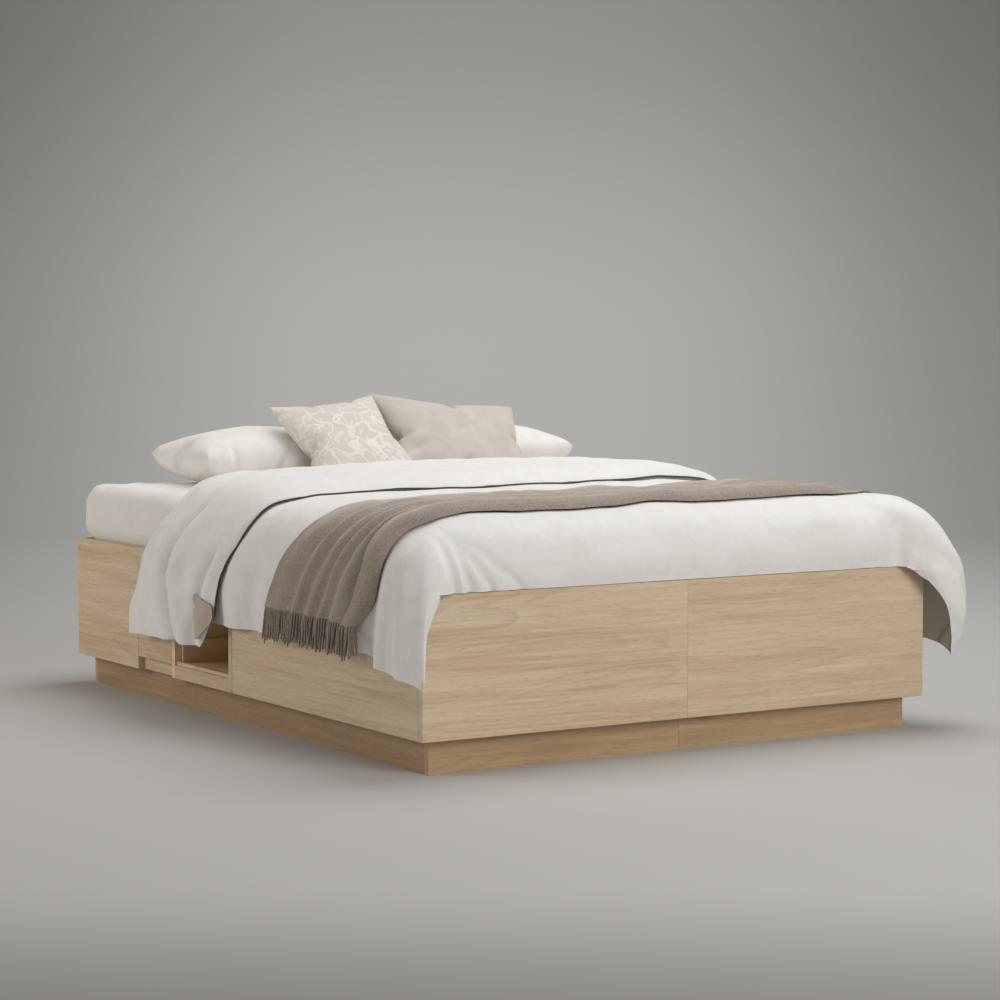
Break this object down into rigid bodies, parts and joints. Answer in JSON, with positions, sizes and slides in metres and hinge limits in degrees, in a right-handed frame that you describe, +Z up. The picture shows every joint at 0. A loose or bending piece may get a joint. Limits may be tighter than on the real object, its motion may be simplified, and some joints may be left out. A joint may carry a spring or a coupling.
{
  "type": "platform bed with storage drawers",
  "caption": "Low oak platform bed on a recessed plinth, with pull-out drawers and an open niche with a tray in each long side, dressed with mattress, quilt, throw and cushions.",
  "frame": {"origin": "on the floor under the middle of the bed", "axes": "+X to the right seen from the foot, +Y towards the head, +Z up"},
  "size_m": [1.754, 2.1134, 0.8816],
  "materials": {
    "oak": "satin",
    "oak_faced_board": "satin",
    "birch_ply": "satin",
    "pine": "matte",
    "steel": "satin",
    "white_cotton": "matte",
    "fitted_sheet": "matte",
    "taupe_wool": "matte",
    "ivory_jacquard": "matte",
    "greige_velvet": "matte"
  },
  "bodies": {
    "bed_frame": {"base_boards": "oak_faced_board", "centre_beam": "pine", "corner_blocks": "pine", "cushion_patterned": "ivory_jacquard", "cushion_plain": "greige_velvet", "drawer_divider_left": "oak_faced_board", "drawer_divider_right": "oak_faced_board", "end_panel_left": "oak", "end_panel_right": "oak", "foot_panel_left": "oak", "foot_panel_right": "oak", "head_panel_left": "oak", "head_panel_right": "oak", "joint_plates": "steel", "ledgers": "pine", "lower_rails_left": "oak", "lower_rails_right": "oak", "mattress": "fitted_sheet", "middle_divider_left": "oak", "middle_divider_right": "oak", "niche_divider_left": "oak", "niche_divider_right": "oak", "niche_lining_left": "oak_faced_board", "niche_lining_right": "oak_faced_board", "pillow_left": "white_cotton", "pillow_right": "white_cotton", "plinth_foot_left": "oak", "plinth_foot_right": "oak", "plinth_head_left": "oak", "plinth_head_right": "oak", "plinth_left": "oak", "plinth_right": "oak", "quilt": "white_cotton", "quilt_drop_left": "white_cotton", "quilt_drop_right": "white_cotton", "runner_channels": "steel", "side_rail_left": "oak", "side_rail_right": "oak", "slats": "pine", "throw": "taupe_wool", "throw_end_left": "taupe_wool", "throw_end_right": "taupe_wool"},
    "wide_drawer_left": {"wide_drawer_front_left": "oak", "wide_drawer_box_left": "birch_ply", "wide_drawer_bottom_left": "birch_ply", "wide_drawer_slides_left": "steel"},
    "narrow_drawer_left": {"narrow_drawer_front_left": "oak", "narrow_drawer_box_left": "birch_ply", "narrow_drawer_slides_left": "steel"},
    "niche_tray_left": {"niche_tray_front_left": "oak", "niche_tray_box_left": "oak_faced_board"},
    "wide_drawer_right": {"wide_drawer_front_right": "oak", "wide_drawer_box_right": "birch_ply", "wide_drawer_bottom_right": "birch_ply", "wide_drawer_slides_right": "steel"},
    "narrow_drawer_right": {"narrow_drawer_front_right": "oak", "narrow_drawer_box_right": "birch_ply", "narrow_drawer_slides_right": "steel"},
    "niche_tray_right": {"niche_tray_front_right": "oak", "niche_tray_box_right": "oak_faced_board"}
  },
  "joints": [
    {"name": "wide_drawer_left_slide", "type": "slide", "parent": "bed_frame", "child": "wide_drawer_left", "axis": [-1, 0, 0], "range_m": [0, 0.4], "deforming": ["quilt_drop_left", "throw_end_left"]},
    {"name": "narrow_drawer_left_slide", "type": "slide", "parent": "bed_frame", "child": "narrow_drawer_left", "axis": [-1, 0, 0], "range_m": [0, 0.38], "deforming": ["quilt_drop_left"]},
    {"name": "niche_tray_left_slide", "type": "slide", "parent": "bed_frame", "child": "niche_tray_left", "axis": [-1, 0, 0], "range_m": [0, 0.2]},
    {"name": "wide_drawer_right_slide", "type": "slide", "parent": "bed_frame", "child": "wide_drawer_right", "axis": [1, 0, 0], "range_m": [0, 0.4], "deforming": ["quilt_drop_right", "throw_end_right"]},
    {"name": "narrow_drawer_right_slide", "type": "slide", "parent": "bed_frame", "child": "narrow_drawer_right", "axis": [1, 0, 0], "range_m": [0, 0.38], "deforming": ["quilt_drop_right"]},
    {"name": "niche_tray_right_slide", "type": "slide", "parent": "bed_frame", "child": "niche_tray_right", "axis": [1, 0, 0], "range_m": [0, 0.2]}
  ]
}
